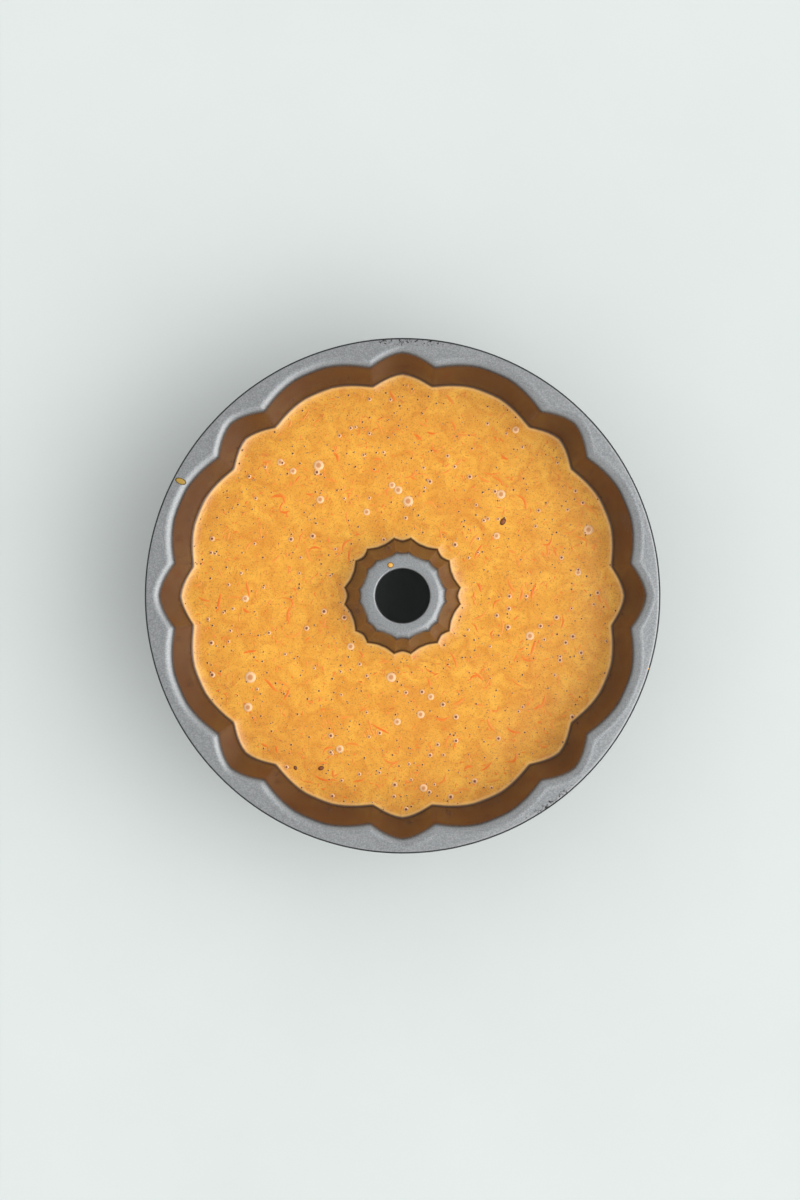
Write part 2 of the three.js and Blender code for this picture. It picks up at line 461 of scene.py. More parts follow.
@dataclass(frozen=True)
class NonStickCoating:
    """PTFE non-stick with metal flake, sprayed on drawn steel and baked.

    The eye sees a mid grey satin skin with a fine grain of flake and faint orange peel in its reflections.
    The cavity under its grease is darker, warmer and glossier, so that it mirrors what it holds; the darker,
    warmer colour is partly a real grease film and partly a painted reflection of the batter, and a band of
    painted shade lies where the grease ends. The back has a thin dark coat without flake. Racks and knives
    have left scorched and scratched flecks on the rim.
    """

    body: str = "#858789"
    flake: str = "#b6b8b9"
    cloud: str = "#7c7e81"
    # Painted shade for the dark grey band where the grease ends under the shoulder.
    painted_edge_shade: str = "#55585b"
    # Partly a real grease film, partly a painted reflection of the batter in the walls.
    grease_and_reflection: str = "#5c453a"
    back: str = "#2b2c2e"
    scorch: str = "#1f1b19"
    flakes: Pattern = Pattern(0.7, 2.0, 0.6)  # real flake is 0.1 mm, drawn coarser so that its grain shows
    clouds: Pattern = Pattern(38.0, 3.0, 0.5)  # thicker and thinner spray
    peel: Pattern = Pattern(2.4, 2.0, 0.5)  # orange peel
    flecks: Pattern = Pattern(2.2, 5.0, 0.72, swirl=0.8)  # scorch and scratch marks
    runs: Pattern = Pattern(9.0, 3.0, 0.55)  # runs in the grease
    flake_share: Ramp = Ramp(0.38, 0.72, high=0.5)
    cloud_share: Ramp = Ramp(0.35, 0.65, high=0.5)
    run_share: Ramp = Ramp(0.3, 0.6, low=0.82)
    painted_edge_shade_share: Ramp = Ramp(0.0, 0.45, high=0.85)  # painted shade: a dark grey band at the grease's upper edge
    grease_and_reflection_share: Ramp = Ramp(0.35, 1.0)
    scorch_share: Ramp = Ramp(0.49, 0.58)
    metallic: float = 0.6
    satin: Ramp = Ramp(0.3, 0.7, low=0.3, high=0.44)  # the coating's roughness over its grain
    greased_roughness: float = 0.2
    back_roughness: float = 0.55
    scorch_roughness: float = 0.7
    grain_relief: Relief = Relief(0.12, 0.22)
    peel_relief: Relief = Relief(0.15, 0.25)

    def material(self) -> bpy.types.Material:
        """Builds the coating's material."""
        material, tree, place = new_material("ptfe_on_drawn_steel_sprayed")
        marks = {mark: add_node(tree, "Attribute", attribute_name=mark.value).outputs["Fac"] for mark in Mark}
        flakes, clouds, peel, flecks, runs = (
            add_node(tree, "TexNoise", pattern.over(place)).outputs["Fac"]
            for pattern in (self.flakes, self.clouds, self.peel, self.flecks, self.runs))
        worn = add_node(tree, "Math", {0: flecks, 1: marks[Mark.WEAR]}, operation="MULTIPLY").outputs[0]
        flake, cloud, run, painted_edge_shade, grease_and_reflection_ramp, scorched, satin = (
            add_node(tree, "MapRange", ramp.over(value)).outputs[0] for ramp, value in (
                (self.flake_share, flakes), (self.cloud_share, clouds), (self.run_share, runs),
                (self.painted_edge_shade_share, marks[Mark.GREASE_AND_PAINTED_LIGHT]), (self.grease_and_reflection_share, marks[Mark.GREASE_AND_PAINTED_LIGHT]),
                (self.scorch_share, worn), (self.satin, flakes)))
        grease_and_reflection = add_node(tree, "Math", {0: grease_and_reflection_ramp, 1: run}, operation="MULTIPLY").outputs[0]

        colour = linear(self.body)
        # Of these tints, the grease's dark grey edge is painted shade and the cavity's brown partly a painted
        # reflection.
        for share, tint in ((cloud, self.cloud), (flake, self.flake), (painted_edge_shade, self.painted_edge_shade),
                            (grease_and_reflection, self.grease_and_reflection), (marks[Mark.BACK], self.back), (scorched, self.scorch)):
            mix = add_node(tree, "Mix", {
                0: share, COLOUR_A: colour, COLOUR_B: linear(tint)}, data_type="RGBA")
            colour = mix.outputs[MIXED_COLOUR]
        roughness = satin
        for share, value in ((marks[Mark.GREASE_AND_PAINTED_LIGHT], self.greased_roughness),
                             (marks[Mark.BACK], self.back_roughness), (scorched, self.scorch_roughness)):
            mix = add_node(tree, "Mix", {
                0: share, NUMBER_A: roughness, NUMBER_B: value}, data_type="FLOAT")
            roughness = mix.outputs[MIXED_NUMBER]

        grain = add_node(tree, "Bump", self.grain_relief.over(flakes))
        bump = add_node(tree, "Bump", {**self.peel_relief.over(peel), "Normal": grain.outputs["Normal"]})
        surface = add_node(tree, "BsdfPrincipled", {
            "Base Color": colour, "Roughness": roughness, "Metallic": self.metallic,
            "Normal": bump.outputs["Normal"]})
        add_node(tree, "OutputMaterial", {"Surface": surface.outputs["BSDF"]})
        return material


@dataclass(frozen=True)
class DrawnWire:
    """Zinc-coated steel wire, drawn: pale metal with a faint mottle of zinc."""

    zinc: str = "#b4b6b8"
    shade: str = "#8d9093"
    mottle: Pattern = Pattern(3.0, 4.0, 0.6)
    roughness: Ramp = Ramp(0.0, 1.0, low=0.24, high=0.44)
    relief: Relief = Relief(0.05, 0.3)

    def material(self) -> bpy.types.Material:
        """Builds the wire's material."""
        material, tree, place = new_material("steel_wire_zinc_coated_drawn")
        mottle = add_node(tree, "TexNoise", self.mottle.over(place)).outputs["Fac"]
        colour = add_node(tree, "Mix", {
            0: mottle, COLOUR_A: linear(self.shade), COLOUR_B: linear(self.zinc)}, data_type="RGBA")
        rough = add_node(tree, "MapRange", self.roughness.over(mottle))
        bump = add_node(tree, "Bump", self.relief.over(mottle))
        surface = add_node(tree, "BsdfPrincipled", {
            "Base Color": colour.outputs[MIXED_COLOUR], "Roughness": rough.outputs[0], "Metallic": 1.0,
            "Normal": bump.outputs["Normal"]})
        add_node(tree, "OutputMaterial", {"Surface": surface.outputs["BSDF"]})
        return material


# ---------------------------------------------------------------------------------------------------------
# The pan
# ---------------------------------------------------------------------------------------------------------


@dataclass(frozen=True)
class WornPatch:
    """A stretch of the rim with flecks: its middle and half width in degrees, and how worn it is."""

    middle: float
    half_width: float
    strength: float


@dataclass
class RingCakePan:
    """The shell, the tube and the wire."""

    sheet: PressedSheet
    worn: tuple[WornPatch, ...] = (
        WornPatch(89, 15, 1.0),
        WornPatch(-54, 9, 1.0),
        WornPatch(200, 10, 0.75),
        WornPatch(20, 6, 0.7),
    )
    worn_width: float = 8.0  # mm inwards from the rim
    worn_fade: float = 0.7  # share of that width over which the wear fades
    worn_reach: float = 1.4  # half widths at which a patch ends
    least_wear: float = 0.45  # too little to show flecks
    dark_coat_and_shade_top: float = math.radians(60)  # up the roll from its outermost edge; below it the dark coat is partly painted shade
    grease_top: float = 1.2  # mm under the shoulder and the crown
    grease_fade: float = 2.2  # mm
    wire_radius: float = 0.6  # mm
    wire_sides: int = 12

    def build(self) -> list[bpy.types.Object]:
        """Builds and dresses every piece.

        Returns:
            The pieces, each riding on the pan's one body.
        """
        coating = NonStickCoating().material()
        wire_finish = DrawnWire().material()
        made = [
            (self.shell(), "fluted_shell", coating, "coated_steel"),
            (self.tube(), "centre_tube", coating, "coated_steel"),
            (self.wire(), "rim_wire", wire_finish, "drawn_wire"),
        ]
        for piece, node, finish, slot in made:
            piece.data.materials.append(finish)
            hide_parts(node)
            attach(piece, "root")
        return [piece for piece, *_ in made]

    def shell(self) -> bpy.types.Object:
        """Builds the trough with its flange and rolled rim."""
        angles = self.sheet.flutes.columns()
        last = self.sheet.cone_station(self.sheet.collar_top) + 1
        top = self.sheet.face(angles, 0, last, 0)
        under = self.sheet.face(angles, 1, last, self.sheet.sheet)[:, ::-1]
        inside = self.sheet.curl(self.sheet.curl_inside)
        outside = self.sheet.curl(self.sheet.curl_outside)[1:][::-1]
        roll = np.concatenate([inside, outside])
        roll = np.broadcast_to(roll, (len(angles), *roll.shape))
        sections = np.concatenate([top, under, roll], axis=1)
        piece = ring_object("pressed_shell", angles, sections)
        back = np.ones(sections.shape[:2])
        back[:, :last] = 0
        # The grey coat ends on the roll's outer side; the dark coat below it is partly real, partly painted
        # shade.
        dark_coat_and_shade_top = self.sheet.curl_centre[1] + self.sheet.curl_outside * math.sin(self.dark_coat_and_shade_top)
        back[:, -len(outside):] = outside[:, 1] < dark_coat_and_shade_top
        grease = self.grease_and_reflection(sections, back, self.sheet.rim_height)
        self.mark(piece, {Mark.BACK: back, Mark.GREASE_AND_PAINTED_LIGHT: grease, Mark.WEAR: self.wear(angles, sections)})
        return piece

    def tube(self) -> bpy.types.Object:
        """Builds the fluted cone with its crown and turned-down lip."""
        angles = self.sheet.flutes.columns()
        first = self.sheet.cone_station(self.sheet.skirt_foot)
        face = self.sheet.face(angles, first, None, self.sheet.lap)
        under = self.sheet.face(angles, first, None, self.sheet.lap + self.sheet.sheet)[:, ::-1]
        sections = np.concatenate([face, under], axis=1)
        piece = ring_object("pressed_tube", angles, sections)
        back = np.ones(sections.shape[:2])
        back[:, :face.shape[1]] = 0
        in_hole = sections[..., 0] < self.sheet.hole_radius + self.sheet.lip_rounding
        grease = self.grease_and_reflection(sections, back, self.sheet.crown_height) * ~in_hole
        self.mark(piece, {Mark.BACK: back, Mark.GREASE_AND_PAINTED_LIGHT: grease, Mark.WEAR: self.wear(angles, sections)})
        return piece

    def wire(self) -> bpy.types.Object:
        """Builds the wire in the rolled rim."""
        angles = self.sheet.flutes.columns()
        around = np.linspace(0, 2 * math.pi, self.wire_sides, endpoint=False)
        section = np.stack([np.cos(around), np.sin(around)], axis=1) * self.wire_radius
        section = np.broadcast_to(section + self.sheet.curl_centre, (len(angles), *section.shape))
        return ring_object("stiffening_wire", angles, section)

    def grease_and_reflection(self, sections: np.ndarray, back: np.ndarray, top: float) -> np.ndarray:
        """Gives the grease and its painted reflection and shade: the whole cavity, but not the flange or the
        crown.

        Args:
            sections: An array of angles by corners by (radius, height), in millimetres.
            back: 1 where a corner is on the sheet's back.
            top: The height of the shoulder or the crown that the grease stops under.

        Returns:
            An array of angles by corners, from 0 to 1.
        """
        under_top = (top - self.grease_top - sections[..., 1]) / self.grease_fade
        in_rim = sections[..., 0] > self.sheet.rim_radius - 2 * self.sheet.curl_outside
        return np.clip(under_top, 0, 1) * (1 - back) * ~in_rim

    def wear(self, angles: np.ndarray, sections: np.ndarray) -> np.ndarray:
        """Gives how worn the sheet is: a little everywhere, and more in patches of the rim.

        Args:
            angles: The angle of each section, in radians.
            sections: An array of angles by corners by (radius, height), in millimetres.

        Returns:
            An array of angles by corners, from 0 to 1.
        """
        patched = np.zeros(len(angles))
        for patch in self.worn:
            away = np.abs((np.degrees(angles) - patch.middle + 180) % 360 - 180) / patch.half_width
            patched = np.maximum(patched, patch.strength * np.clip(self.worn_reach - away, 0, 1))
        inwards = self.sheet.rim_radius - sections[..., 0]
        on_rim = np.clip((self.worn_width - inwards) / (self.worn_fade * self.worn_width), 0, 1)
        return self.least_wear + (1 - self.least_wear) * patched[:, None] * on_rim

    def mark(self, piece: bpy.types.Object, marks: dict[Mark, np.ndarray]) -> None:
        """Stores the marks on the piece's vertices."""
        for mark, values in marks.items():
            attribute = piece.data.attributes.new(mark.value, "FLOAT", "POINT")
            attribute.data.foreach_set("value", values.ravel().astype(float))


# ---------------------------------------------------------------------------------------------------------
# The batter, which isn't part of the pan
# ---------------------------------------------------------------------------------------------------------


@dataclass(frozen=True)
class BatterFinish:
    """Carrot-cake batter, stirred and poured: glossy, with ground spice, fibres and burst bubbles.

    The eye sees a wet amber skin with brown grit, faint orange threads that fade where they dip under the
    surface, pin-holes painted dark as their shade, and where the batter wets the metal a dark line of painted
    shade with a painted highlight inside it.
    """

    body: str = "#f0b03a"
    deep: str = "#d6881d"
    stain: str = "#ce7a1a"
    fibre: str = "#d05a14"
    spice: str = "#7d4a1c"
    # Painted shade: pin-holes drawn dark for the shade inside them.
    shaded_pore: str = "#3a1c12"
    # Painted shade for the dark line where the batter meets the metal, and a painted highlight inside it.
    shore_shade: str = "#3d2413"
    shore_highlight: str = "#e8c07a"
    clouds: Pattern = Pattern(9.0, 5.0, 0.6, swirl=0.9)
    stains: Pattern = Pattern(42.0, 4.0, 0.62)  # where more carrot has gathered
    spices: Pattern = Pattern(0.8, 2.0, 0.7)  # ground spice is finer, drawn coarser so that it shows
    swirls: Pattern = Pattern(8.8, 1.0, 0.5, swirl=2.2)  # the threads run along its middle values
    gaps: Pattern = Pattern(4.84, 2.0, 0.6)  # breaks the threads into fibres
    pore_spacing: float = 2.7  # mm between pin-holes
    cloud_share: Ramp = Ramp(0.3, 0.7)
    stain_share: Ramp = Ramp(0.5, 0.7, high=0.36)
    spice_share: Ramp = Ramp(0.52, 0.72, high=0.6)
    thread_share: Ramp = Ramp(0.0, 0.025, low=1.0, high=0.0)
    gap_share: Ramp = Ramp(0.5, 0.62, high=0.6)
    pore_reach: Ramp = Ramp(0.72, 1.0, high=0.13)  # most spots of the pattern get no pin-hole
    pore_share: Ramp = Ramp(0.0, 0.04, high=0.85)
    shore_highlight_share: Ramp = Ramp(0.34, 0.46, high=0.36)
    shore_shade_share: Ramp = Ramp(0.54, 0.78, high=0.95)
    roughness: float = 0.16
    oil_weight: float = 0.45  # a film of oil on top
    oil_roughness: float = 0.1
    cloud_relief: Relief = Relief(0.5, 0.3)
    spice_relief: Relief = Relief(0.12, 0.35)
    pore_relief: Relief = Relief(0.5, 0.8)

    def material(self) -> bpy.types.Material:
        """Builds the batter's material."""
        material, tree, place = new_material("cake_batter_poured")
        clouds, stains, spices, swirls, gaps = (
            add_node(tree, "TexNoise", pattern.over(place)).outputs["Fac"]
            for pattern in (self.clouds, self.stains, self.spices, self.swirls, self.gaps))
        edge = add_node(tree, "Attribute", attribute_name="edge").outputs["Fac"]
        off_middle = add_node(tree, "Math", {0: swirls, 1: 0.5}, operation="SUBTRACT").outputs[0]
        from_thread = add_node(tree, "Math", {0: off_middle}, operation="ABSOLUTE").outputs[0]
        pores = add_node(tree, "TexVoronoi", {
            "Vector": place, "Scale": per_metre(self.pore_spacing), "Randomness": 1.0}, feature="F1")
        chance = add_node(tree, "SeparateColor", {"Color": pores.outputs["Color"]}).outputs["Red"]
        cloud, stain, spice, thread, gap, reach, pale, shore_shade = (
            add_node(tree, "MapRange", ramp.over(value)).outputs[0] for ramp, value in (
                (self.cloud_share, clouds), (self.stain_share, stains), (self.spice_share, spices),
                (self.thread_share, from_thread), (self.gap_share, gaps), (self.pore_reach, chance),
                (self.shore_highlight_share, edge), (self.shore_shade_share, edge)))
        fibre = add_node(tree, "Math", {0: thread, 1: gap}, operation="MULTIPLY").outputs[0]
        depth = add_node(tree, "Math", {0: reach, 1: pores.outputs["Distance"]}, operation="SUBTRACT")
        shaded_pore = add_node(tree, "MapRange", self.pore_share.over(depth.outputs[0])).outputs[0]

        # The pin-hole colour is painted shade; the shore's pale line is a painted highlight and its dark line
        # painted shade.
        colour = linear(self.body)
        for share, tint in ((cloud, self.deep), (stain, self.stain), (spice, self.spice), (fibre, self.fibre),
                            (shaded_pore, self.shaded_pore), (pale, self.shore_highlight), (shore_shade, self.shore_shade)):
            mix = add_node(tree, "Mix", {
                0: share, COLOUR_A: colour, COLOUR_B: linear(tint)}, data_type="RGBA")
            colour = mix.outputs[MIXED_COLOUR]

        lumps = add_node(tree, "Bump", self.cloud_relief.over(clouds))
        grit = add_node(tree, "Bump", {**self.spice_relief.over(spices), "Normal": lumps.outputs["Normal"]})
        dents = add_node(tree, "Bump", {**self.pore_relief.over(shaded_pore), "Normal": grit.outputs["Normal"]},
                         invert=True)
        surface = add_node(tree, "BsdfPrincipled", {
            "Base Color": colour, "Roughness": self.roughness, "IOR": 1.45, "Normal": dents.outputs["Normal"],
            "Coat Weight": self.oil_weight, "Coat Roughness": self.oil_roughness})
        add_node(tree, "OutputMaterial", {"Surface": surface.outputs["BSDF"]})
        return material


@dataclass(frozen=True)
class FilmFinish:
    """A wet film over a bubble, a drop or a lump, with a core of another colour than its ring."""

    name: str
    core: str
    ring: str
    core_share: float  # of the radius
    roughness: float = 0.08
    blend: float = 0.12  # half the width of the step from core to ring, as a share of the radius
    grain: Pattern = Pattern(0.9, 2.0, 0.6)
    relief: Relief = Relief(0.1, 0.2)

    def material(self) -> bpy.types.Material:
        """Builds the film's material."""
        material, tree, place = new_material(self.name)
        grain = add_node(tree, "TexNoise", self.grain.over(place)).outputs["Fac"]
        outwards = add_node(tree, "Attribute", attribute_name="outwards").outputs["Fac"]
        step = Ramp(self.core_share - self.blend, self.core_share + self.blend)
        in_ring = add_node(tree, "MapRange", step.over(outwards)).outputs[0]
        colour = add_node(tree, "Mix", {
            0: in_ring, COLOUR_A: linear(self.core), COLOUR_B: linear(self.ring)}, data_type="RGBA")
        bump = add_node(tree, "Bump", self.relief.over(grain))
        surface = add_node(tree, "BsdfPrincipled", {
            "Base Color": colour.outputs[MIXED_COLOUR], "Roughness": self.roughness, "IOR": 1.4,
            "Normal": bump.outputs["Normal"]})
        add_node(tree, "OutputMaterial", {"Surface": surface.outputs["BSDF"]})
        return material


@dataclass(frozen=True)
class CarrotFinish:
    """Raw carrot, grated and stirred in: wet, bright orange, veiled where batter lies over it."""

    carrot: str = "#d9560a"
    pale: str = "#ea8220"
    veil: str = "#e79c3c"
    mottle: Pattern = Pattern(1.6, 3.0, 0.6)
    roughness: float = 0.22
    relief: Relief = Relief(0.15, 0.3)

    def material(self) -> bpy.types.Material:
        """Builds the carrot's material."""
        material, tree, place = new_material("carrot_grated_raw")
        mottle = add_node(tree, "TexNoise", self.mottle.over(place)).outputs["Fac"]
        sunk = add_node(tree, "Attribute", attribute_name="sunk").outputs["Fac"]
        colour = linear(self.carrot)
        for share, tint in ((mottle, self.pale), (sunk, self.veil)):
            mix = add_node(tree, "Mix", {
                0: share, COLOUR_A: colour, COLOUR_B: linear(tint)}, data_type="RGBA")
            colour = mix.outputs[MIXED_COLOUR]
        bump = add_node(tree, "Bump", self.relief.over(mottle))
        surface = add_node(tree, "BsdfPrincipled", {
            "Base Color": colour, "Roughness": self.roughness, "IOR": 1.4, "Normal": bump.outputs["Normal"]})
        add_node(tree, "OutputMaterial", {"Surface": surface.outputs["BSDF"]})
        return material


def staged_mesh(name: str, points: np.ndarray, faces: np.ndarray, finish: bpy.types.Material,
                marks: dict[str, np.ndarray]) -> bpy.types.Object:
    """Makes a smooth mesh that isn't part of the pan.

    Args:
        name: The object's name.
        points: Rows of x, y and z, in millimetres.
        faces: Rows of four point numbers.
        finish: The material.
        marks: Values from 0 to 1 for the points, by attribute name.

    Returns:
        The staged object.
    """
    mesh = bpy.data.meshes.new(name)
    mesh.from_pydata((points * MM).tolist(), [], faces.tolist())
    mesh.shade_smooth()
    for mark, values in marks.items():
        mesh.attributes.new(mark, "FLOAT", "POINT").data.foreach_set("value", values.ravel().astype(float))
    mesh.materials.append(finish)
    thing = link(bpy.data.objects.new(name, mesh))
    return thing


def grid_faces(columns: int, rows: int, wrap: bool) -> np.ndarray:
    """Gives the faces of a grid whose points run down one column after the other.

    Args:
        columns: How many columns of points there are.
        rows: How many points a column has.
        wrap: Whether the last column joins the first.

    Returns:
        Rows of four point numbers.
    """
    steps = columns if wrap else columns - 1
    column, row = np.meshgrid(np.arange(steps), np.arange(rows - 1), indexing="ij")
    next_column = (column + 1) % columns
    around = ((column, row), (column, row + 1), (next_column, row + 1), (next_column, row))
    return np.stack([c * rows + r for c, r in around], axis=2).reshape(-1, 4)


DOME_GRID = (14, 6)  # mesh columns round a dome and rows from its top to its edge
DOME_TOP_HOLE = 0.02  # share of the radius that is left open at the top, too small to see
DOME_ROUNDNESS = 0.995  # just under 1, so that the edge stands a little above the surface


@dataclass(frozen=True)
class Dome:
    """A low dome on a surface, in millimetres and radians."""

    middle: tuple[float, float, float]
    half_length: float
    half_width: float
    height: float
    turn: float = 0.0


def dome_object(name: str, domes: list[Dome], finish: FilmFinish) -> bpy.types.Object:
    """Makes one staged mesh of many domes.

    Args:
        name: The object's name.
        domes: The domes.
        finish: Their finish.

    Returns:
        The staged object.
    """
    columns, rows = DOME_GRID
    around = np.linspace(0, 2 * math.pi, columns, endpoint=False)[:, None]
    out = np.linspace(DOME_TOP_HOLE, 1, rows)[None, :]
    flat_x, flat_y = np.cos(around) * out, np.sin(around) * out
    up = np.broadcast_to(np.sqrt(1 - out ** 2 * DOME_ROUNDNESS), flat_x.shape)
    faces = grid_faces(columns, rows, wrap=True)
    points, all_faces = [], []
    for number, dome in enumerate(domes):
        cos, sin = math.cos(dome.turn), math.sin(dome.turn)
        along, across = flat_x * dome.half_length, flat_y * dome.half_width
        x = dome.middle[0] + along * cos - across * sin
        y = dome.middle[1] + along * sin + across * cos
        points.append(np.stack([x, y, dome.middle[2] + up * dome.height], axis=2).reshape(-1, 3))
        all_faces.append(faces + number * columns * rows)
    outwards = np.broadcast_to(out, (len(domes), columns, rows))
    return staged_mesh(name, np.concatenate(points), np.concatenate(all_faces), finish.material(),
                       {"outwards": outwards})


@dataclass
class Batter:
    """The batter in the trough: a level skin that climbs a little where it wets the metal."""

    sheet: PressedSheet
    depth_below_rim: float = 27.0  # mm
    climb: float = 2.1  # mm up the metal
    climb_width: float = 4.6  # mm over which most of the climb is
    climb_fall: float = 2.0  # how many times the climb falls by e over that width
    swell: float = 0.25  # mm, the surface's own unevenness
    swell_size: float = 26.0  # mm
    rows: int = 110

    @property
    def level(self) -> float:
        """Gives the height of the batter away from the metal."""
        return self.sheet.rim_height - self.depth_below_rim

    def shores(self, angle: np.ndarray) -> tuple[np.ndarray, np.ndarray]:
        """Gives the radii at which the skin meets the cone and the outer wall.

        Args:
            angle: Angles round the axis, in radians.

        Returns:
            The two radii at each angle, in millimetres.
        """
        top = self.level + self.climb
        cone = self.sheet.radius_at(angle, top, self.sheet.lap, on_cone=True)
        return cone, self.sheet.radius_at(angle, top, 0, on_cone=False)

    def skin(self, angle: np.ndarray, radius: np.ndarray, shores: tuple[np.ndarray, np.ndarray]
             ) -> tuple[np.ndarray, np.ndarray]:
        """Gives the skin's points.

        Args:
            angle: Angles round the axis, in radians.
            radius: Radii at those angles, in millimetres.
            shores: The radii at which the skin meets the metal there.

        Returns:
            The points, and how near each is to the metal, up to 1 at the metal.
        """
        to_shore = np.minimum(radius - shores[0], shores[1] - radius)
        edge = np.exp(-self.climb_fall * to_shore / self.climb_width)
        x, y = radius * np.cos(angle), radius * np.sin(angle)
        places = np.stack([x, y], axis=-1).reshape(-1, 2) / self.swell_size
        waves = np.array([noise.noise((u, v, 0)) for u, v in places]).reshape(x.shape)
        return np.stack([x, y, self.level + self.climb * edge + self.swell * waves], axis=-1), edge

    def build(self) -> bpy.types.Object:
        """Builds the skin.

        Returns:
            The staged skin.
        """
        angles = self.sheet.flutes.columns()
        cone, wall = self.shores(angles)
        share = (1 - np.cos(np.linspace(0, math.pi, self.rows))) / 2
        radius = cone[:, None] + (wall - cone)[:, None] * share
        points, edge = self.skin(angles[:, None], radius, (cone[:, None], wall[:, None]))
        faces = grid_faces(len(angles), self.rows, wrap=True)
        return staged_mesh("batter", points.reshape(-1, 3), faces, BatterFinish().material(), {"edge": edge})

    def scatter(self, rng: np.random.Generator, count: int, margin: float) -> np.ndarray:
        """Picks places on the skin.

        Args:
            rng: The source of chance.
            count: How many places to pick.
            margin: How far from the metal they stay, in millimetres.

        Returns:
            Rows of x, y and z, in millimetres.
        """
        angle = rng.uniform(0, 2 * math.pi, count)
        cone, wall = self.shores(angle)
        least, most = (cone + margin) ** 2, (wall - margin) ** 2
        radius = np.sqrt(least + rng.uniform(0, 1, count) * (most - least))
        points, _ = self.skin(angle, radius, (cone, wall))
        return points


@dataclass(frozen=True)
class BubbleKind:
    """One size of bubble: how many, radii in millimetres, how tall for the radius, and the finish."""

    name: str
    count: int
    smallest: float
    largest: float
    tallness: float
    finish: FilmFinish


@dataclass
class Bubbles:
    """Bubbles that have come up through the batter: pin-holes, beads with a painted highlight ring, and a few
    large.
    """

    batter: Batter
    seed: int = 11
    margin: float = 0.5  # mm between the largest of a kind and the metal
    # Each kind's dark core is painted shade and its pale ring a painted highlight.
    kinds: tuple[BubbleKind, ...] = (
        BubbleKind("pin_bubbles", 700, 0.42, 0.78, 0.5, FilmFinish(
            "batter_film_burst", core="#45210f", ring="#e9b06a", core_share=0.62)),
        BubbleKind("bead_bubbles", 130, 0.85, 1.6, 0.6, FilmFinish(
            "batter_film_bead", core="#7c4529", ring="#f2bf8b", core_share=0.5)),
        BubbleKind("wide_bubbles", 24, 1.8, 3.1, 0.4, FilmFinish(
            "batter_film_stretched", core="#c88a58", ring="#f3c391", core_share=0.5)),
    )

    def build(self) -> list[bpy.types.Object]:
        """Builds every kind of bubble.

        Returns:
            A staged object for each kind.
        """
        made = []
        rng = np.random.default_rng(self.seed)
        for kind in self.kinds:
            radii = kind.smallest + (kind.largest - kind.smallest) * rng.uniform(0, 1, kind.count) ** 2
            places = self.batter.scatter(rng, kind.count, kind.largest + self.margin)
            domes = [Dome(tuple(place), radius, radius, radius * kind.tallness)
                     for place, radius in zip(places, radii)]
            made.append(dome_object(kind.name, domes, kind.finish))
        return made


@dataclass(frozen=True)
class ShredKind:
    """One size of carrot shred: how many, ranges of length and width in millimetres, and of sinking."""

    name: str
    count: int
    length: tuple[float, float]
    width: tuple[float, float]
    sunk: tuple[float, float]


@dataclass
class CarrotShreds:
    """Grated carrot lying in the skin, in bent ribbons that taper and dip under at their ends."""

    batter: Batter
    seed: int = 5
    margin: float = 5.0  # mm from the metal
    stations: int = 9
    ride: float = 0.16  # mm that a shred's back stands out
    bend: float = 0.35  # spread of how bowed shreds are, as a share of half their length
    twist: float = 0.12  # spread of how S-shaped they are
    stray: float = 0.9  # spread, in radians, of how far they lie from the direction of stirring
    end_taper: float = 0.9  # how much of the square of its width a shred loses at its ends
    edge_dip: float = 1.6  # how far a shred's edges dip, for how far its back stands out
    end_rise: float = 0.1  # how far its ends stay up
    end_veil: float = 0.25  # how much more batter lies over its ends
    ribs: tuple[float, ...] = (-1.0, -0.6, 0.0, 0.6, 1.0)  # where its mesh lines lie across its half width
    kinds: tuple[ShredKind, ...] = (
        ShredKind("carrot_shreds", 150, (4, 11), (1.1, 2.0), (0.0, 0.7)),
        ShredKind("carrot_bits", 900, (1.0, 3.6), (0.6, 1.3), (0.1, 0.8)),
    )

    def build(self) -> list[bpy.types.Object]:
        """Builds every kind of shred.

        Returns:
            A staged object for each kind.
        """
        made = []
        rng = np.random.default_rng(self.seed)
        finish = CarrotFinish().material()
        for kind in self.kinds:
            places = self.batter.scatter(rng, kind.count, self.margin)
            shreds = [self.shred(rng, kind, place) for place in places]
            points = np.concatenate([points.reshape(-1, 3) for points, _ in shreds])
            sunk = np.concatenate([sunk.ravel() for _, sunk in shreds])
            size = len(points) // len(shreds)
            faces = grid_faces(self.stations, size // self.stations, wrap=False)
            numbers = np.arange(len(shreds))[:, None, None] * size
            faces = (faces + numbers).reshape(-1, 4)
            made.append(staged_mesh(kind.name, points, faces, finish, {"sunk": sunk}))
        return made

    def shred(self, rng: np.random.Generator, kind: ShredKind, place: np.ndarray
              ) -> tuple[np.ndarray, np.ndarray]:
        """Shapes one shred.

        Args:
            rng: The source of chance.
            kind: The kind of shred.
            place: Its middle, in millimetres.

        Returns:
            Its points by station and across, and how sunk each is.
        """
        half = rng.uniform(*kind.length) / 2
        half_width = rng.uniform(*kind.width) / 2
        bend = rng.normal(0, self.bend)
        twist = rng.normal(0, self.twist)
        turn = math.atan2(place[1], place[0]) + math.pi / 2 + rng.normal(0, self.stray)
        veiled = rng.uniform(*kind.sunk)
        along = np.linspace(-1, 1, self.stations)[:, None]
        across = np.array(self.ribs)[None, :]
        taper = np.sqrt(1 - self.end_taper * along ** 2)
        u = half * along + 0 * across
        v = half * (bend * along ** 2 + twist * along ** 3) + half_width * taper * across
        up = self.ride * (1 - across ** 2 * self.edge_dip) * (1 + self.end_rise - along ** 2)
        x = place[0] + u * math.cos(turn) - v * math.sin(turn)
        y = place[1] + u * math.sin(turn) + v * math.cos(turn)
        sunk = np.clip(veiled + self.end_veil * along ** 2 + 0 * across, 0, 1)
        return np.stack([x, y, place[2] + up], axis=2), sunk


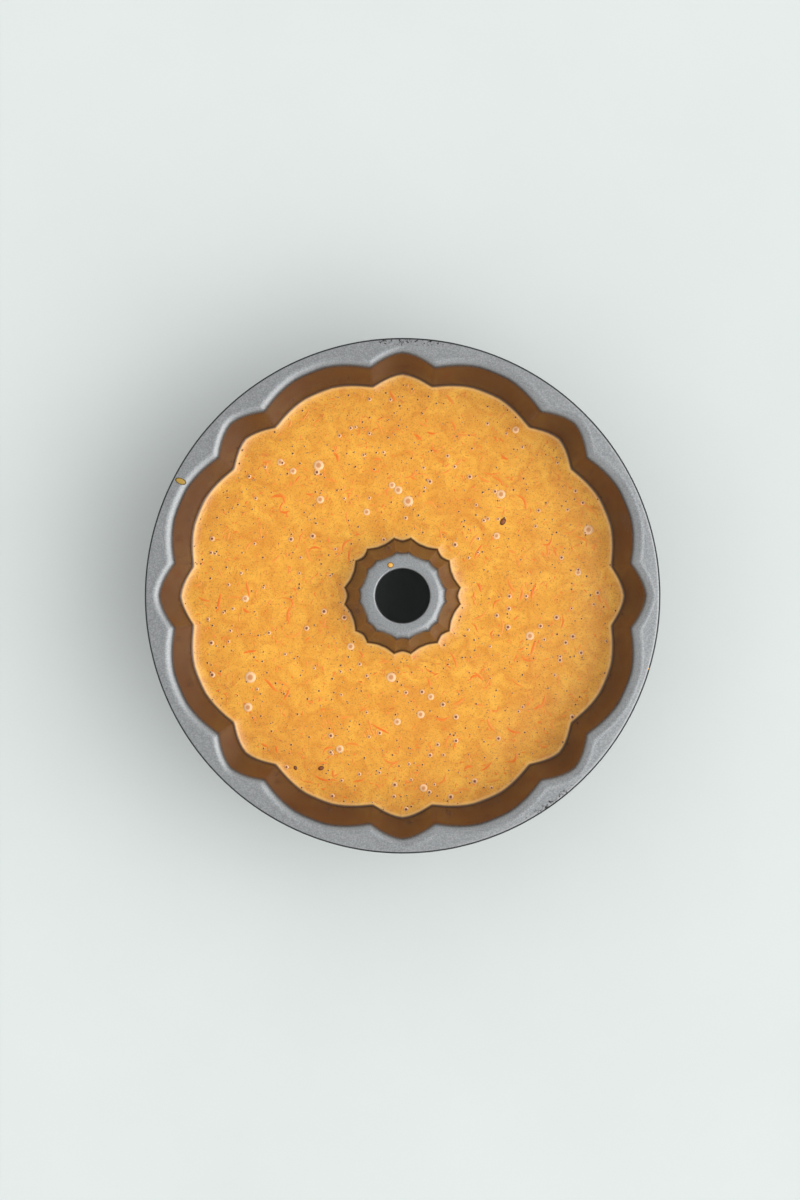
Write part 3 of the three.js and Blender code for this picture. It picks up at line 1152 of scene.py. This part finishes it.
@dataclass
class Spills:
    """Drops of batter on the flange and the crown, and nuts in the batter."""

    sheet: PressedSheet
    batter: Batter

    def build(self) -> list[bpy.types.Object]:
        """Builds the drops and the nuts.

        Returns:
            A staged object for each finish.
        """
        level = self.batter.level
        crown = self.sheet.crown_height
        flange = self.sheet.rim_height - self.sheet.flange_droop / 2
        # The two drop finishes have a dark ring of painted shade round their edges.
        oil = FilmFinish("oil_drop_spilt", core="#a8863a", ring="#4a3a1c", core_share=0.78)
        drop = FilmFinish("batter_drop_spilt", core="#e0a548", ring="#5a3f18", core_share=0.8)
        nut = FilmFinish("walnut_chopped_wet", core="#8a4a22", ring="#5f3014", core_share=0.6, roughness=0.3)
        return [
            dome_object("flange_drop", [
                self.dome(152.7, 129.0, flange - 0.1, 3.1, 1.7, 0.9, 158),
            ], oil),
            dome_object("drops", [
                self.dome(111.6, 17.1, crown, 1.6, 1.5, 0.9, 0),
                self.dome(-16.5, 132.4, flange - 0.9, 0.9, 0.7, 0.7, 70),
            ], drop),
            dome_object("nuts", [
                self.dome(36.5, 66.5, level, 2.1, 1.4, 0.7, 60),
                self.dome(-115.3, 101.5, level, 1.6, 1.1, 0.6, 20),
                self.dome(-121.9, 108, level, 1.2, 0.9, 0.5, 110),
            ], nut),
        ]

    def dome(self, angle: float, radius: float, height: float, half_length: float, half_width: float,
             tall: float, turn: float) -> Dome:
        """Sets a dome at an angle in degrees and a radius in millimetres.

        Args:
            angle: The angle round the axis, in degrees.
            radius: The distance from the axis.
            height: The height of the surface there.
            half_length: Half the dome's length.
            half_width: Half its width.
            tall: How far it stands up.
            turn: The direction of its length, in degrees.

        Returns:
            The dome.
        """
        place = math.radians(angle)
        middle = (radius * math.cos(place), radius * math.sin(place), height)
        return Dome(middle, half_length, half_width, tall, math.radians(turn))


# ---------------------------------------------------------------------------------------------------------
# The studio
# ---------------------------------------------------------------------------------------------------------


@dataclass(frozen=True)
class Studio:
    """A pale floor, a large soft light from the right, and the camera straight above."""

    pan_top: float  # mm
    lens: float = 50.0  # mm, on a 36 mm sensor along the long side
    camera_above_rim: float = 861.0  # mm
    camera_right: float = -1.35  # mm
    camera_back: float = -2.2  # mm
    floor_side: float = 16.0  # m
    floor_pale: str = "#d0d6d5"
    floor_shade: str = "#c8cecd"
    floor_clouds: Pattern = Pattern(160.0, 6.0, 0.6)
    floor_roughness: float = 0.8
    # How bright the room is by the sine of the elevation: dim walls, pale upper walls, a dimmer ceiling
    room: tuple[tuple[float, str], ...] = (
        (0.0, "#868686"), (0.2, "#b4b4b3"), (0.45, "#f4f4f2"), (0.8, "#f8f8f6"), (1.0, "#c8cacc"))
    room_strength: float = 1.06
    window: tuple[float, float, float] = (0.71, -0.16, 0.68)  # the direction of its middle
    window_reach: tuple[float, float] = (0.70, 0.92)  # cosines of its dim and bright edges from there
    window_strength: float = 2.05  # added to the room's light
    key_strength: float = 2.0  # W
    key_place: tuple[float, float, float] = (1.1, -0.25, 1.35)  # m
    key_sides: tuple[float, float] = (1.2, 0.9)  # m

    def camera(self) -> None:
        """Sets the camera straight above the pan, with the top of its view towards +Y."""
        data = bpy.data.cameras.new("camera")
        data.lens = self.lens
        data.clip_start = 0.01
        camera = link(bpy.data.objects.new("camera", data))
        height = self.pan_top + self.camera_above_rim
        camera.location = Vector((self.camera_right, self.camera_back, height)) * MM
        bpy.context.scene.camera = camera

    def floor(self) -> None:
        """Lays the floor that the pan stands on."""
        half = self.floor_side / 2
        mesh = bpy.data.meshes.new("floor")
        corners = [(-half, -half, 0), (half, -half, 0), (half, half, 0), (-half, half, 0)]
        mesh.from_pydata(corners, [], [(0, 1, 2, 3)])
        material, tree, place = new_material("worktop_plaster_matt")
        cloud = add_node(tree, "TexNoise", self.floor_clouds.over(place)).outputs["Fac"]
        colour = add_node(tree, "Mix", {
            0: cloud, COLOUR_A: linear(self.floor_shade), COLOUR_B: linear(self.floor_pale),
        }, data_type="RGBA")
        surface = add_node(tree, "BsdfPrincipled", {
            "Base Color": colour.outputs[MIXED_COLOUR], "Roughness": self.floor_roughness})
        add_node(tree, "OutputMaterial", {"Surface": surface.outputs["BSDF"]})
        mesh.materials.append(material)
        link(bpy.data.objects.new("floor", mesh))

    def lights(self) -> None:
        """Sets the room's light and the soft key light."""
        world = bpy.data.worlds.new("studio")
        world.use_nodes = True
        tree = world.node_tree
        direction = add_node(tree, "TexCoord").outputs["Generated"]
        axes = add_node(tree, "SeparateXYZ", {0: direction})
        ramp = add_node(tree, "ValToRGB", {0: axes.outputs["Z"]}).color_ramp
        ramp.elements.remove(ramp.elements[1])
        for number, (sine, grey) in enumerate(self.room):
            element = ramp.elements[0] if number == 0 else ramp.elements.new(sine)
            element.position = sine
            element.color = linear(grey)
        towards = add_node(tree, "VectorMath", {0: direction, 1: self.window}, operation="DOT_PRODUCT")
        window = Ramp(*self.window_reach, self.room_strength, self.room_strength + self.window_strength)
        glow = add_node(tree, "MapRange", window.over(towards.outputs["Value"]),
                        interpolation_type="SMOOTHSTEP")
        background = tree.nodes["Background"]
        tree.links.new(tree.nodes["Color Ramp"].outputs["Color"], background.inputs["Color"])
        tree.links.new(glow.outputs[0], background.inputs["Strength"])
        bpy.context.scene.world = world
        data = bpy.data.lights.new("key", "AREA")
        data.shape = "RECTANGLE"
        data.size, data.size_y = self.key_sides
        data.energy = self.key_strength
        key = link(bpy.data.objects.new("key", data))
        key.location = self.key_place
        key.rotation_euler = Vector(self.key_place).to_track_quat("Z", "Y").to_euler()
        bpy.context.scene.view_settings.view_transform = "Standard"


def main() -> None:
    """Builds the camera, the studio, the pan and its batter."""
    logging.basicConfig(level=logging.INFO, format="%(name)s: %(message)s")
    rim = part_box("fluted_shell")[1] / MM
    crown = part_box("centre_tube")[1] / MM
    studio = Studio(pan_top=rim.z)
    studio.camera()
    sheet = PressedSheet(rim_radius=rim.x, rim_height=rim.z, crown_height=crown.z)
    batter = Batter(sheet)
    made = [*RingCakePan(sheet).build(), batter.build(), *Bubbles(batter).build(),
            *CarrotShreds(batter).build(), *Spills(sheet, batter).build()]
    for piece in made:
        LOG.info("%s: %d faces", piece.name, len(piece.data.polygons))
    studio.floor()
    studio.lights()


if __name__ == "__main__":
    main()
